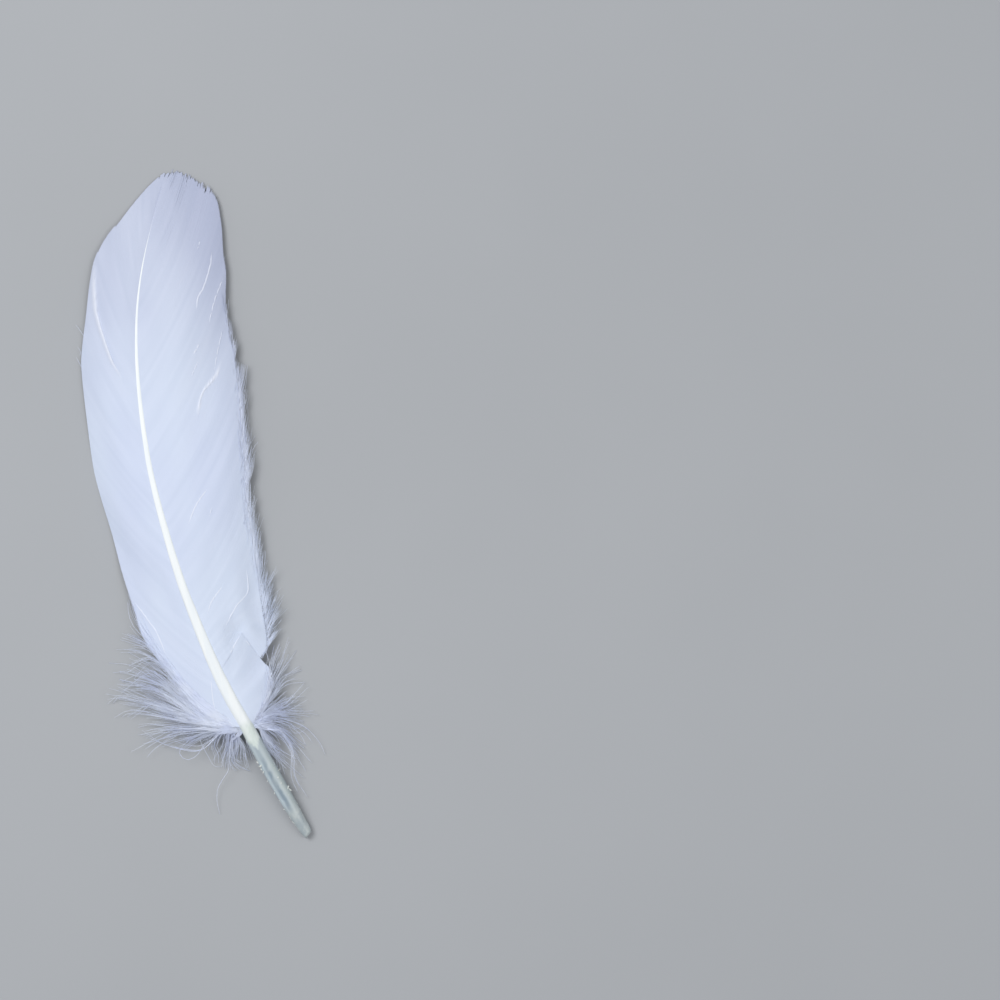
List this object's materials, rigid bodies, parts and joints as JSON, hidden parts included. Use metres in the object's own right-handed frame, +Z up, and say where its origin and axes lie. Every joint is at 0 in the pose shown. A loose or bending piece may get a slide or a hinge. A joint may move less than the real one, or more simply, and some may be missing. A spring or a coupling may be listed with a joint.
{
  "type": "goose quill feather",
  "caption": "White goose quill feather lying on its hollow side: bare quill, bowed shaft, narrow and wide vane, ragged wide edge and tufts of down at the foot.",
  "frame": {"origin": "on the surface that the feather lies on, under the middle of its bounding box", "axes": "+Y along the feather from the quill's end to its tip, +X across it towards the wide vane, +Z up, out of its upper side"},
  "size_m": [0.0556, 0.1822, 0.0091],
  "materials": {
    "vane": "satin",
    "shaft": "satin",
    "quill": "satin",
    "down": "matte"
  },
  "bodies": {
    "root": {"feather": "vane"}
  },
  "joints": []
}
